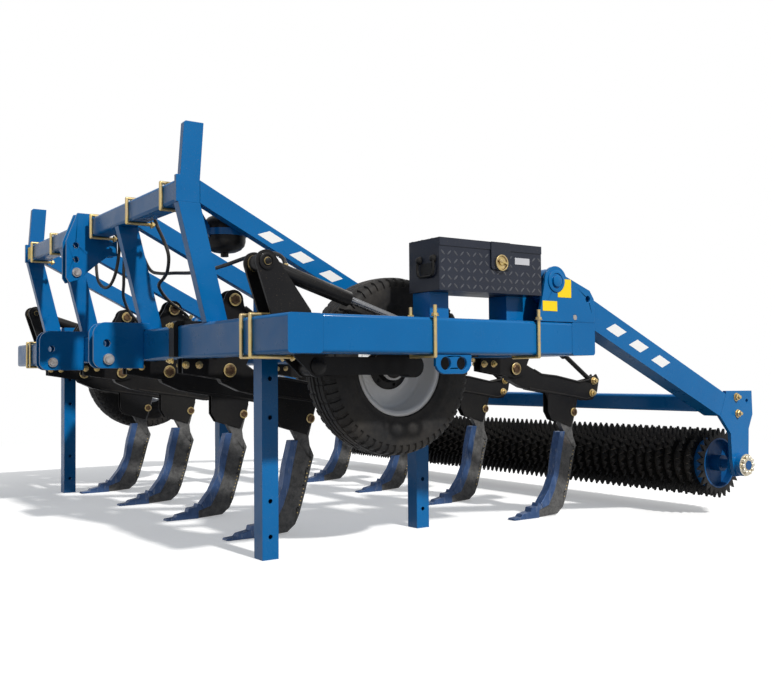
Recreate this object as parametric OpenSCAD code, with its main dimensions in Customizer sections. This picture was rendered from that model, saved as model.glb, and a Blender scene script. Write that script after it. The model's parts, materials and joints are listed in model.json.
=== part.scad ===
// Towed and lifted subsoiler with eight break-back tines, two depth wheels and a toothed rear roller.
// X points forward, Y to the machine's left, Z up, with the origin on the ground under its middle.

/* [Frame] */
// Width of the frame over the ends of the beams
frame_w = 3974; // [3600:1:4400]
// Length of the frame from the front beam's face to the rear beam's back
frame_l = 1620; // [1560:1:1800]
// Height and depth of the square main beams
beam = 150; // [140:1:160]
// Wall of the main beams
beam_wall = 8; // [5:1:12]
// Height of the main beams' underside above the ground
beam_z = 855; // [840:1:900]
// Width of the legs, struts and rails
bar_w = 50; // [40:1:55]
// Depth of the legs and height of the rails
bar_d = 100; // [80:1:110]
// Wall of the legs, struts and rails
bar_wall = 5; // [3:1:8]
// Distance of the outer legs' middle inside the frame's sides
leg_inset = 749; // [740:1:790]

/* [Headstock] */
// Height of the upper bar's underside above the beams' top
head_h = 509; // [450:1:560]
// Height and depth of the upper bar
head_bar = 100; // [80:1:110]
// Distance of the upper bar's back from the front beam's face
head_x = 24; // [10:1:40]
// Reach of the upper bar past the outer legs' middle
head_past = 22; // [18:1:50]
// Rise of the end posts above the upper bar
post_h = 250; // [150:1:300]
// Drop of the struts for each unit that they run back
strut_fall = 0.5; // [0.46:0.01:0.54]
// Reach of the hitch plates in front of the front beam
hitch_reach = 249; // [230:1:270]
// Distance between the middles of the two lower hitch points
hitch_spread = 965; // [930:1:980]
// Gap between a pair of lower hitch plates
hitch_gap = 52; // [46:1:60]
// Thickness of the hitch plates
hitch_plate = 16; // [12:1:20]
// Bore for the lower link pins
lower_bore = 37; // [36:0.5:40]
// Gap between the two top link plates
top_gap = 52; // [46:1:60]
// Bore for the top link pin
top_bore = 32; // [30:0.5:34]

/* [Tines] */
// Distance between neighbouring tines, seen from behind
tine_pitch = 372; // [360:1:380]
// Distance of a tine's pivot behind the back of its beam
tine_back = 100; // [95:1:110]
// Depth of a tine's pivot below the beams' underside
tine_drop = 55; // [52:1:60]
// Thickness of the shanks
shank_t = 30; // [25:1:36]
// Width of the shins and points
point_w = 50; // [44:1:60]

/* [Depth wheels] */
// Diameter of the tyres
tyre_d = 796; // [760:1:800]
// Width of the tyres
tyre_w = 205; // [180:1:210]
// Distance of a wheel's middle inside the frame's side
wheel_inset = 439; // [436:1:450]
// Length of a wheel arm from pivot to hub
arm_l = 495; // [480:1:510]
// Distance of a wheel arm's pivot behind the front beam's face
arm_back = 265; // [255:1:275]
// Height of a wheel arm's square tube
arm_h = 75; // [60:1:80]
// Outer diameter of a ram's barrel
barrel_d = 64; // [56:1:70]
// Diameter of a ram's rod
rod_d = 32; // [25:1:36]

/* [Roller] */
// Diameter over the roller's teeth
roller_d = 380; // [340:1:400]
// Length of the toothed part
roller_l = 3670; // [3400:1:3680]
// Distance of the roller's axle behind the front beam's face
roller_back = 2760; // [2720:1:2800]
// Height of the roller's axle above the ground
roller_z = 278; // [270:1:300]
// Number of toothed rings
ring_n = 56; // [40:1:60]
// Number of teeth on a ring
tooth_n = 26; // [20:1:28]
// Height and width of the roller arms
roller_arm_h = 128; // [110:1:135]

/* [Stands] */
// Side of the square parking stands
stand_w = 76; // [70:1:80]
// Length of the parking stands
stand_l = 1110; // [1050:1:1150]

/* [Toolbox] */
// Length of the toolbox
box_l = 575; // [520:1:600]
// Width of the toolbox
box_w = 208; // [180:1:215]
// Height of the toolbox with its lid
box_h = 218; // [190:1:230]
// Thickness of the toolbox plate
box_wall = 4; // [3:1:6]

/* [Hidden] */

$fn = 48;
blue = "#0a63ad";
black = "#26262a";
zinc = "#c9a850";
steel = "#8d8f94";
// A cut reaches this far past the faces that it opens
over = 1;
// Running gap between a pin and its bore
pin_gap = 0.3;

half_w = frame_w / 2;
leg_out = half_w - leg_inset;
head_half = leg_out + head_past;
wheel_y = half_w - wheel_inset;
leg_in = hitch_spread / 2;
beam_top = beam_z + beam;
// The part's X origin is the middle between the hitch plates' front and the roller's back
front_x = (roller_back + roller_d / 2 - hitch_reach) / 2;
head_z = beam_top + head_h;
side_in = half_w - beam;
rear_face = beam - frame_l;
// Front end of the toolbox, whose rear end lies just ahead of the roller mount
box_x = 340 - frame_l + box_l;

// Moves what is drawn from the front beam's face to its place on the ground
module on_frame() { translate([front_x, 0, 0]) children(); }

// A side view drawn in X and Z, made t wide and set about y
module side_plate(y, t) {
    translate([0, y + t / 2, 0]) rotate([90, 0, 0]) linear_extrude(t) children();
}

// A round bar along Y
module y_bar(x, y, z, r, l) { translate([x, y + l / 2, z]) rotate([90, 0, 0]) cylinder(r = r, h = l); }

// Outline of a rolled tube w wide and h high about the origin, with its corners rounded by r
tube_r = 14;
module soft_rect(w, h, r) {
    square([w - 2 * r, h], center = true);
    square([w, h - 2 * r], center = true);
    for (x = [-1, 1], y = [-1, 1]) translate([x * (w / 2 - r), y * (h / 2 - r)]) circle(r);
}
module tube_section(w, h, wall) {
    difference() {
        soft_rect(w, h, tube_r);
        soft_rect(w - 2 * wall, h - 2 * wall, tube_r - wall);
    }
}

// A rolled tube along Y, about the point given
module y_tube(x, y, z, sx, sz, wall, l) {
    translate([x, y + l / 2, z]) rotate([90, 0, 0]) linear_extrude(l) tube_section(sx, sz, wall);
}

module both_sides() { for (m = [0, 1]) mirror([0, m, 0]) children(); }

// Frame

module cross_beam(x) {
    y_tube(x - beam / 2, 0, beam_z + beam / 2, beam, beam, beam_wall, frame_w - 2 * cap_t);
    both_sides() translate([x - beam / 2, half_w, beam_z + beam / 2]) rotate([90, 0, 0])
        linear_extrude(cap_t) soft_rect(beam, beam, tube_r);
}
cap_t = 6;
module front_beam() { color(blue) on_frame() cross_beam(0); }
module rear_beam() { color(blue) on_frame() cross_beam(rear_face); }

module side_beams() {
    color(blue) on_frame() both_sides() translate([rear_face, side_in + beam / 2, beam_z + beam / 2])
        rotate([90, 0, 90]) linear_extrude(-rear_face - beam) tube_section(beam, beam, beam_wall);
}

leg_ys = [leg_out, leg_in, -leg_in, -leg_out];
module rails() {
    color(blue) on_frame() for (y = leg_ys) translate([rear_face, y - bar_w / 2, beam_top - bar_d]) difference() {
        cube([-rear_face - beam, bar_w, bar_d]);
        translate([-over, bar_wall, bar_wall])
            cube([-rear_face - beam + 2 * over, bar_w - 2 * bar_wall, bar_d - 2 * bar_wall]);
    }
}

module upper_bar() {
    color(blue) on_frame() y_tube(head_x + head_bar / 2, 0, head_z + head_bar / 2, head_bar, head_bar,
        beam_wall, 2 * (head_half - plate_t));
}

// End plates of the upper bar, each with its post, which leans back by lean over its height
plate_t = 20;
post_d = 90;
post_t = 35;
lean = 18;
module bar_end_plates() {
    color(blue) on_frame() both_sides() union() {
        side_plate(head_half - plate_t / 2, plate_t) polygon([
            [head_x, head_z], [head_x + head_bar + 8, head_z],
            [head_x + head_bar + 8, head_z + head_bar + 16], [head_x, head_z + head_bar + 16]]);
        side_plate(head_half - post_t / 2, post_t) polygon([
            [head_x, head_z + head_bar], [head_x + post_d, head_z + head_bar],
            [head_x + post_d - lean, head_z + head_bar + post_h - 8],
            [head_x + post_d - lean - 8, head_z + head_bar + post_h],
            [head_x - lean, head_z + head_bar + post_h]]);
    }
}

// Legs lean forward from the front beam's top to the upper bar
leg_foot = -(bar_d + 4);
leg_head = head_x + head_bar - bar_d;
module leg_side(inset) {
    polygon([[leg_foot + inset, beam_top - inset], [leg_foot + bar_d - inset, beam_top - inset],
        [leg_head + bar_d - inset, head_z + inset], [leg_head + inset, head_z + inset]]);
}
module legs() {
    color(blue) on_frame() for (y = leg_ys) difference() {
        side_plate(y, bar_w) leg_side(0);
        side_plate(y, bar_w - 2 * bar_wall) leg_side(bar_wall);
    }
}

// Struts fall back from the upper bar to a shoe on each rail
shoe_t = 10;
strut_v = 100;
strut_run = (head_z - beam_top - shoe_t) / strut_fall;
strut_back = (head_z + strut_v - beam_top - shoe_t) / strut_fall;
module strut_side(inset) {
    polygon([[head_x, head_z + inset], [head_x, head_z + strut_v - inset],
        [head_x - strut_back + inset / strut_fall, beam_top + shoe_t],
        [head_x - strut_run - inset / strut_fall, beam_top + shoe_t]]);
}
module struts() {
    color(blue) on_frame() for (y = leg_ys) {
        difference() {
            side_plate(y, bar_w) strut_side(0);
            side_plate(y, bar_w - 2 * bar_wall) strut_side(bar_wall);
        }
        translate([head_x - strut_back - 15, y - bar_w / 2, beam_top])
            cube([strut_back - strut_run + 30, bar_w, shoe_t]);
    }
}

// Hitch

top_x = 190;
top_holes = [[190, 1467], [190, 1393]];
top_pin_at = [187, 1325];
top_plate = 15;
module top_link_side() {
    under = head_z;
    over_bar = head_z + head_bar;
    difference() {
        polygon([[224, 1270], [240, 1296], [240, 1490], [182, 1640], [head_x, 1640],
            [head_x, over_bar], [head_x + head_bar, over_bar], [head_x + head_bar, under],
            [-30, under], [-30, 1425], [20, 1420], [80, 1372], [180, 1285]]);
        for (h = top_holes) translate(h) circle(d = top_bore);
        translate(top_pin_at) circle(d = top_bore);
    }
}
module top_link_bracket() {
    color("#0a2f5c") on_frame() both_sides() side_plate((top_gap + top_plate) / 2, top_plate) top_link_side();
}
module top_link_pin() {
    color(steel) on_frame() {
        y_bar(top_pin_at[0], 0, top_pin_at[1], top_bore / 2 - pin_gap, top_gap + 2 * top_plate + 30);
        y_bar(top_pin_at[0], top_gap / 2 + top_plate + 4 + pin_gap, top_pin_at[1], top_bore / 2 + 8, 8);
    }
}

lower_pin_z = beam_z + 4;
lower_hole_z = lower_pin_z + 77;
lower_x = 178;
module hitch_side() {
    r = 45;
    difference() {
        union() {
            polygon([[0, beam_z - 40], [hitch_reach - r, beam_z - 40], [hitch_reach, beam_z - 40 + r],
                [hitch_reach, beam_top + 33 - 60], [hitch_reach - 60, beam_top + 33],
                [-30, beam_top + 33], [-30, beam_top], [0, beam_top]]);
            translate([hitch_reach - r, beam_z - 40 + r]) circle(r);
            translate([hitch_reach - 60, beam_top + 33 - 60]) circle(60);
        }
        translate([lower_x, lower_pin_z]) circle(d = lower_bore);
        translate([lower_x + 6, lower_hole_z]) circle(d = lower_bore);
    }
}
module hitch_plates() {
    color(blue) on_frame() both_sides() for (s = [1, -1])
        side_plate(hitch_spread / 2 + s * (hitch_gap + hitch_plate) / 2, hitch_plate) hitch_side();
}
module hitch_pins() {
    color(steel) on_frame() for (s = [1, -1]) translate([0, s * hitch_spread / 2, 0]) {
        y_bar(lower_x, 0, lower_pin_z, lower_bore / 2 - pin_gap, hitch_gap + 2 * hitch_plate + 40);
        y_bar(lower_x, hitch_gap / 2 + hitch_plate + 6 + pin_gap, lower_pin_z, lower_bore / 2 + 8, 12);
    }
}

// Depth wheels

tower_y = half_w - 287;
tower_gap = 90;
tower_t = 12;
arm_pivot = [-arm_back, beam_z - 45];
tower_pin = [-36, 1217];
boss_r = 46;
module tower_side() {
    difference() {
        union() {
            polygon([[tower_pin[0] + 44, tower_pin[1] - 14], [tower_pin[0] - 30, tower_pin[1] + 35],
                [-232, beam_top + 28], [arm_pivot[0] - boss_r, arm_pivot[1]],
                [arm_pivot[0], arm_pivot[1] - boss_r], [arm_pivot[0] + 35, arm_pivot[1] - 29],
                [-beam, beam_z], [-beam, beam_top], [-58, beam_top]]);
            translate(tower_pin) circle(boss_r);
            translate(arm_pivot) circle(boss_r);
        }
        translate(tower_pin) circle(15 + pin_gap);
        translate(arm_pivot) circle(20 + pin_gap);
    }
}
module wheel_towers() {
    color(black) on_frame() both_sides() {
        for (s = [1, -1]) side_plate(tower_y + s * (tower_gap + tower_t) / 2, tower_t) tower_side();
        translate([-beam - 12, tower_y - tower_gap / 2, beam_z + 10]) cube([12, tower_gap, beam - 20]);
    }
}
module tower_pins() {
    color(zinc) on_frame() both_sides() {
        y_bar(tower_pin[0], tower_y, tower_pin[1], 15, tower_gap + 2 * tower_t + 20);
        y_bar(arm_pivot[0], tower_y, arm_pivot[1], 20, tower_gap + 2 * tower_t + 20);
    }
}

// The ram's eye on the arm, given from the arm's pivot
eye_at = [-535, 170];
lug_gap = 46;
module arm_body() {
    hub = [arm_pivot[0] - arm_l, arm_pivot[1]];
    eye = arm_pivot + eye_at;
    difference() {
        union() {
            translate([hub[0], tower_y - arm_h / 2, arm_pivot[1] - arm_h / 2]) cube([arm_l, arm_h, arm_h]);
            y_bar(arm_pivot[0], tower_y, arm_pivot[1], 40, tower_gap - 6);
            y_bar(hub[0], tower_y, hub[1], 50, arm_h);
            for (s = [1, -1]) side_plate(tower_y + s * (lug_gap / 2 + 5), 10) union() {
                polygon([[hub[0] - 20, hub[1]], [eye[0] - 36, eye[1]], [eye[0] + 36, eye[1] + 10],
                    [hub[0] + 200, hub[1] + arm_h / 2 - 1]]);
                translate(eye) circle(38);
            }
            y_bar(eye[0], tower_y, eye[1], 15, lug_gap + 40);
        }
        y_bar(arm_pivot[0], tower_y, arm_pivot[1], 20 + pin_gap, tower_gap + 20);
        translate([hub[0] + 60, tower_y - arm_h / 2 + 6, arm_pivot[1] - arm_h / 2 + 6])
            cube([arm_l - 110, arm_h - 12, arm_h - 12]);
    }
    y_bar(hub[0], (tower_y - arm_h / 2 + wheel_y - 60) / 2, hub[1], 25, tower_y - arm_h / 2 - wheel_y + 62);
}
module wheel_arm(s) { color(black) on_frame() mirror([0, s < 0 ? 1 : 0, 0]) arm_body(); }
module wheel_arm_left() { wheel_arm(1); }
module wheel_arm_right() { wheel_arm(-1); }

module at_hub(s) {
    on_frame() translate([arm_pivot[0] - arm_l, s * wheel_y, arm_pivot[1]]) rotate([s * -90, 0, 0]) children();
}
// Rim and tyre are revolved about the hub with the outboard side up
rim_r = 203;
rim_w = 150;
flange_r = 222;
module rim_section() {
    w = rim_w / 2;
    polygon([[rim_r - 5, w], [flange_r, w + 6], [flange_r, w], [rim_r, w - 6], [rim_r, -w + 6],
        [flange_r, -w], [flange_r, -w - 6], [rim_r - 5, -w], [rim_r - 12, -w + 10],
        [rim_r - 22, -w + 40], [110, -w + 56], [60, -w + 50], [60, -w + 62], [112, -w + 68],
        [rim_r - 12, -w + 54], [rim_r - 6, w - 12]]);
}
module rim(s) {
    color("#c8ccd0") at_hub(s) difference() {
        union() {
            rotate_extrude() rim_section();
            translate([0, 0, -rim_w / 2 + 20]) cylinder(r = 62, h = 90);
        }
        translate([0, 0, -rim_w]) cylinder(r = 25 + pin_gap, h = 2 * rim_w);
    }
}
module rim_left() { rim(1); }
module rim_right() { rim(-1); }

module tyre_section() {
    r = tyre_d / 2;
    w = tyre_w / 2;
    polygon([[rim_r + 0.3, rim_w / 2 - 7], [flange_r + 0.3, rim_w / 2 - 0.5], [flange_r + 8, rim_w / 2 + 12],
        [flange_r + 50, w - 6], [r - 90, w], [r - 45, w - 5], [r - 14, w - 20], [r - 4, w - 45], [r, 0],
        [r - 4, 45 - w], [r - 14, 20 - w], [r - 45, 5 - w], [r - 90, -w], [flange_r + 50, 6 - w],
        [flange_r + 8, -rim_w / 2 - 12], [flange_r + 0.3, -rim_w / 2 + 0.5], [rim_r + 0.3, -rim_w / 2 + 7],
        [rim_r + 0.3, -rim_w / 2 + 20], [flange_r + 30, -w + 22], [r - 60, -w + 20], [r - 26, -w + 40],
        [r - 26, w - 40], [r - 60, w - 20], [flange_r + 30, w - 22], [rim_r + 0.3, rim_w / 2 - 20]]);
}
module tyre(s) { color("#1c1c1e") at_hub(s) rotate_extrude($fn = 72) tyre_section(); }
module tyre_left() { tyre(1); }
module tyre_right() { tyre(-1); }

// The ram runs from the tower's pin to the arm's eye
ram_from = tower_pin;
ram_to = arm_pivot + eye_at;
ram_len = norm(ram_to - ram_from);
ram_dip = atan2(ram_from[1] - ram_to[1], ram_from[0] - ram_to[0]);
barrel_l = 430;
module along_ram(s) {
    on_frame() translate([ram_from[0], s * tower_y, ram_from[1]]) rotate([0, -90 - ram_dip, 0]) children();
}
module ram_barrel(s) {
    color("#17171a") along_ram(s) difference() {
        union() {
            translate([0, 0, 30]) cylinder(d = barrel_d, h = barrel_l - 30);
            rotate([90, 0, 0]) cylinder(r = 34, h = 60, center = true);
        }
        rotate([90, 0, 0]) cylinder(r = 15 + pin_gap, h = 80, center = true);
        translate([0, 0, 60]) cylinder(d = rod_d + 1, h = barrel_l);
    }
}
module ram_barrel_left() { ram_barrel(1); }
module ram_barrel_right() { ram_barrel(-1); }
// The eye is opened wide round its pin, because the arm's swing doesn't follow the ram evenly
eye_slack = 12;
module ram_rod(s) {
    color("#c5c8cc") along_ram(s) difference() {
        union() {
            translate([0, 0, 140]) cylinder(d = rod_d, h = ram_len - 140 - 30);
            translate([0, 0, ram_len]) rotate([90, 0, 0]) cylinder(r = 38, h = lug_gap - 6, center = true);
        }
        translate([0, 0, ram_len]) rotate([90, 0, 0]) cylinder(r = 15 + eye_slack, h = lug_gap, center = true);
    }
}
module ram_rod_left() { ram_rod(1); }
module ram_rod_right() { ram_rod(-1); }

// Tines, each drawn from its pivot, with X and Z as seen from the left

// Row's beam back, and the first tine's place in pitches from the centre
rows = [[-beam, 2.5], [-frame_l, 3.5]];
tine_z = beam_z - tine_drop;
bracket_t = 10;
bracket_gap = 44;
module each_tine() {
    on_frame() for (row = rows, k = [0:3])
        translate([row[0] - tine_back, (row[1] - 2 * k) * tine_pitch, tine_z]) children();
}
trip_pin = [-28, 333];
arm_eye = [-610, -70];
module bracket_side() {
    difference() {
        union() {
            polygon([[trip_pin[0] + 46, trip_pin[1] + 10], [trip_pin[0] - 46, trip_pin[1] + 10],
                [-120, tine_drop + 30], [-60, -34], [0, -48], [tine_back + 130, -12],
                [tine_back + 130, tine_drop], [tine_back, tine_drop], [tine_back, tine_drop + beam]]);
            translate(trip_pin) circle(48);
        }
        circle(20 + pin_gap);
        translate(trip_pin) circle(16 + pin_gap);
    }
}
module tine_brackets() {
    color(black) each_tine() {
        for (s = [1, -1]) side_plate(s * (bracket_gap + bracket_t) / 2, bracket_t) bracket_side();
        y_bar(0, 0, 0, 20, bracket_gap + 2 * bracket_t + 16);
        y_bar(trip_pin[0], 0, trip_pin[1], 16, bracket_gap + 2 * bracket_t + 16);
    }
}
// Each clamp grips the beam's face in front and its underside
clamp_w = 60;
clamp_t = 22;
module tine_clamps() {
    color(black) each_tine() side_plate(0, clamp_w) difference() {
        polygon([[tine_back, tine_drop + beam + clamp_t], [tine_back, tine_drop + beam],
            [tine_back + beam, tine_drop + beam], [tine_back + beam, tine_drop + 6],
            [tine_back + beam + clamp_t, tine_drop + 6], [tine_back + beam + clamp_t, tine_drop + beam + 6],
            [tine_back + beam + 6, tine_drop + beam + clamp_t]]);
    }
}
module arm_side() {
    difference() {
        polygon([[60, 44], [-30, 52], [-130, 5], [-205, -25], [-320, -36], [-500, -70], [-590, -55],
            [-632, -30], [-655, -62], [-640, -130], [-600, -175], [-550, -180], [-400, -155], [-205, -128],
            [-60, -100], [30, -60], [66, 0]]);
        circle(20 + pin_gap);
        translate(arm_eye) circle(14 + pin_gap);
    }
}
// Cheeks under the arm, between which the shank is bolted
module holder_side() {
    polygon([[-252, -110], [-252, -233], [-281, -278], [-427, -321], [-460, -239], [-484, -150]]);
}
module tine_arms() {
    color(black) each_tine() difference() {
        side_plate(0, bracket_gap - 2 * pin_gap) union() {
            arm_side();
            holder_side();
        }
        translate([-700, -shank_t / 2, -340]) cube([570, shank_t, 440]);
    }
}
trip_dip = atan2(trip_pin[1] - arm_eye[1], trip_pin[0] - arm_eye[0]);
trip_len = norm(arm_eye - trip_pin);
trip_d = 48;
trip_neck = 78;
trip_barrel = 380;
module trip_rams() {
    color("#1a1a1d") each_tine() translate([trip_pin[0], 0, trip_pin[1]]) rotate([0, -90 - trip_dip, 0])
        difference() {
            union() {
                translate([0, 0, trip_neck]) cylinder(d = trip_d, h = trip_barrel);
                cylinder(d = 36, h = trip_neck);
                cylinder(d = 26, h = trip_len);
                for (z = [0, trip_len]) translate([0, 0, z]) rotate([90, 0, 0])
                    cylinder(r = 28, h = shank_t, center = true);
            }
            rotate([90, 0, 0]) cylinder(r = 16 + pin_gap, h = 60, center = true);
            translate([0, 0, trip_len]) rotate([90, 0, 0]) cylinder(r = 14 + pin_gap, h = 60, center = true);
        }
}
// Lowest point of a tine below its pivot
heel = -tine_z;
// Small holes along a shank's back edge
shank_holes = [[-448, -434], [-431, -489], [-408, -571], [-376, -678]];
module shank_side() {
    difference() {
        polygon([[-250, -100], [-300, -215], [-374, -345], [-345, -467], [-322, -575], [-290, -661],
            [-245, -738], [-173, heel + 40], [-173, heel], [-317, heel + 8], [-361, heel + 42],
            [-385, heel + 90], [-418, -606], [-444, -508], [-469, -426], [-446, -375], [-440, -330],
            [-480, -190], [-470, -110]]);
        for (h = shank_holes) translate(h) circle(5);
    }
}
module shanks() { color("#5c5e60") each_tine() side_plate(0, shank_t) shank_side(); }
module shin_side() {
    polygon([[-335, -345], [-303, -464], [-285, -572], [-242, -656], [-185.5, -725], [-200.4, -751.3],
        [-244.7, -737.7], [-289.7, -660.7], [-321.6, -575], [-344.6, -467], [-373.6, -345]]);
}
module shins() { color("#4a68a8") each_tine() side_plate(0, point_w) shin_side(); }
module point_side() {
    polygon([[-200, -751.4], [-185, -726], [-168, -720], [-160, -738], [-116, -741], [-110, -762],
        [-52, -772], [-40, -785], [8, -789], [12, heel + 2], [2, heel], [-172.7, heel], [-172.7, heel + 40.3]]);
}
module points() { color("#5a6684") each_tine() side_plate(0, point_w) point_side(); }

// U-bolts

ub_r = 8;
// Distance along Y of the bolts round the front beam and round the upper bar
front_bolts = [half_w - 367, half_w - 288, 367 - half_w, 288 - half_w];
head_bolts = [105, 653, leg_out - 152, -653, 152 - leg_out];
module u_bolt(w, d, l) {
    // Drawn in X and Z round a bar w deep and d high, its legs reaching back by l
    for (z = [-ub_r, d + ub_r]) translate([ub_r, 0, z]) rotate([0, -90, 0]) cylinder(r = ub_r, h = w + l + ub_r);
    translate([ub_r, 0, -ub_r]) cylinder(r = ub_r, h = d + 2 * ub_r);
    for (z = [-ub_r, d + ub_r]) translate([ub_r, 0, z]) sphere(r = ub_r, $fn = 24);
}
box_bolts = [box_x + 31, box_x - box_l + 27];
module u_bolts() {
    color(zinc) on_frame() {
        for (y = front_bolts) translate([0, y, beam_z]) u_bolt(beam, beam, 40);
        for (y = head_bolts) translate([head_x + head_bar, y, head_z]) u_bolt(head_bar, head_bar, 30);
        for (x = box_bolts) translate([x, half_w - beam, beam_z]) rotate([0, 0, 90]) mirror([0, 1, 0])
            rotate([0, -90, 0]) mirror([1, 0, 0]) translate([0, 0, -beam]) u_bolt(beam, beam, 50);
    }
}

// Roller mounts on the rear corners

mount_t = 16;
roller_pivot = [248 - frame_l, 1188];
roller_arm_w = 100;
roller_arm_y = half_w - mount_t - 6 - roller_arm_w / 2;
// Arms fall to the rear by arm_fall, and rest on a stop bar stop_back behind the pivot
arm_fall = 24.5;
stop_r = 12;
stop_back = 175;
// Underside of a roller arm and middle of its stop bar below the pivot, square to the arm
arm_low = -20 - roller_arm_h / 2;
stop_low = arm_low - stop_r - pin_gap;
stop_at = roller_pivot + [-stop_back * cos(arm_fall) - stop_low * sin(arm_fall),
    -stop_back * sin(arm_fall) + stop_low * cos(arm_fall)];
module mount_side() {
    difference() {
        union() {
            polygon([[358 - frame_l, beam_top], [roller_pivot[0] + 66, roller_pivot[1] + 8],
                [roller_pivot[0] + 30, roller_pivot[1] + 60], [30 - frame_l, beam_top + 150], [3 - frame_l, beam_top + 112],
                [-frame_l, beam_top]]);
            translate(roller_pivot) circle(68);
        }
        translate(roller_pivot) circle(25 + pin_gap);
        translate(stop_at) circle(stop_r + pin_gap);
        translate([43 - frame_l, beam_top + 110]) circle(15);
    }
}
module roller_mounts() {
    color(blue) on_frame() both_sides() for (y = [half_w - mount_t / 2, roller_arm_y - roller_arm_w / 2 - 6 - mount_t / 2])
        side_plate(y, mount_t) mount_side();
}
module roller_pivots() {
    color(steel) on_frame() both_sides() {
        y_bar(roller_pivot[0], roller_arm_y, roller_pivot[1], 25, roller_arm_w + 2 * mount_t + 12);
        at_arm() y_bar(-stop_back, 0, stop_low, stop_r, roller_arm_w + 2 * mount_t + 12);
    }
}

// Roller frame

// The arms end this far ahead of the roller's axle
arm_lead = 137.7;
roller_arm_l = (roller_back - arm_lead + roller_pivot[0]) / cos(arm_fall);
arm_solid = 335;
arm_clear = 8;
module at_arm() {
    translate([roller_pivot[0], roller_arm_y, roller_pivot[1]]) rotate([0, -arm_fall, 0]) children();
}
module roller_arms() {
    color(blue) on_frame() both_sides() at_arm() difference() {
            union() {
                translate([-roller_arm_l, -roller_arm_w / 2, arm_low])
                    cube([roller_arm_l, roller_arm_w, roller_arm_h]);
                translate([0, roller_arm_w / 2, 0]) rotate([90, 0, 0]) cylinder(r = 60, h = roller_arm_w);
            }
            translate([-roller_arm_l + 8, -roller_arm_w / 2 + 6, arm_low + 6])
                cube([roller_arm_l - arm_solid, roller_arm_w - 12, roller_arm_h - 12]);
            translate([0, roller_arm_w, 0]) rotate([90, 0, 0])
                cylinder(r = 25 + pin_gap, h = 2 * roller_arm_w);
            rotate([0, arm_fall, 0]) translate([-frame_l - arm_clear, -roller_arm_w, beam_z] - [roller_pivot[0], 0, roller_pivot[1]])
                cube([frame_l, 2 * roller_arm_w, beam + arm_clear]);
        }
}
// A point on a roller arm's rear end face, h above the line through the pivot
function arm_end(h) = roller_pivot + [-roller_arm_l * cos(arm_fall) - h * sin(arm_fall),
    -roller_arm_l * sin(arm_fall) + h * cos(arm_fall)];
cross_at = arm_end(0) + [62.3, -8.2];
cross_s = 90;
module roller_cross_tube() {
    color(blue) on_frame() y_tube(cross_at[0], 0, cross_at[1], cross_s, cross_s, 6,
        2 * (roller_arm_y - roller_arm_w / 2));
}
// End plates, welded to the arms' rear ends and flush with their outer faces, each with a bearing
end_t = 20;
end_y = roller_arm_y + roller_arm_w / 2 - end_t / 2;
stub_r = 25;
bearing_r = 60;
bearing_l = 72;
module end_plate_side() {
    difference() {
        polygon([arm_end(44) + [-0.3, 16], arm_end(0) + [-245, 54], arm_end(0) + [-250, -74],
            [-roller_back - 76, roller_z + 190], [-roller_back - 70, roller_z + 30],
            [-roller_back - 52, roller_z - 60], [-roller_back + 52, roller_z - 60],
            [-roller_back + 76, roller_z + 30], [-roller_back + 84, roller_z + 170],
            arm_end(arm_low) + [-0.3, 0], arm_end(44) + [-0.3, 0]]);
        translate([-roller_back, roller_z]) circle(stub_r + pin_gap);
        translate(arm_end(0) + [-200, 0]) circle(11);
    }
}
module roller_end_plates() {
    color("#2c6fae") on_frame() both_sides() difference() {
        union() {
            side_plate(end_y, end_t) end_plate_side();
            y_bar(-roller_back, end_y + 4, roller_z, bearing_r, bearing_l);
        }
        y_bar(-roller_back, end_y, roller_z, stub_r + pin_gap, 200);
    }
}

// Roller

drum_r = 136;
drum_wall = 8;
// Each end of the drum has a flange set back from its rim, with a hub and a stub axle
flange_in = 40;
flange_t = 12;
hub_r = 44;
module roller_drum() {
    flange_y = roller_l / 2 - flange_in - flange_t;
    axle_end = end_y + 58;
    color("#0d3f78") on_frame() translate([-roller_back, 0, roller_z]) {
        difference() {
            y_bar(0, 0, 0, drum_r, roller_l);
            y_bar(0, 0, 0, drum_r - drum_wall, roller_l + 2);
        }
        for (s = [1, -1]) {
            y_bar(0, s * (flange_y + flange_t / 2), 0, drum_r - drum_wall, flange_t);
            y_bar(0, s * (flange_y + roller_l / 2 + 20) / 2, 0, hub_r, roller_l / 2 + 20 - flange_y);
            y_bar(0, s * (flange_y + axle_end) / 2, 0, stub_r, axle_end - flange_y);
        }
    }
}
// Toothed rings stand on the drum, each turned by half a tooth from its neighbours
ring_t = 14;
ring_rim = 12;
module ring_side() {
    root = drum_r + ring_rim;
    difference() {
        polygon([for (k = [0:2 * tooth_n - 1]) let (r = k % 2 == 0 ? roller_d / 2 : root, a = k * 180 / tooth_n)
            [r * cos(a), r * sin(a)]]);
        circle(drum_r);
    }
}
module roller_teeth() {
    step = (roller_l - ring_t) / (ring_n - 1);
    color("#1b1b1d") on_frame() translate([-roller_back, 0, roller_z])
        for (k = [0:ring_n - 1]) rotate([0, k % 2 * 180 / tooth_n, 0])
            side_plate((k - (ring_n - 1) / 2) * step, ring_t) ring_side();
}

// Parking stands

sleeve_t = 8;
stand_gap = 0.3;
sleeve_w = stand_w + 2 * stand_gap + 2 * sleeve_t;
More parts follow.
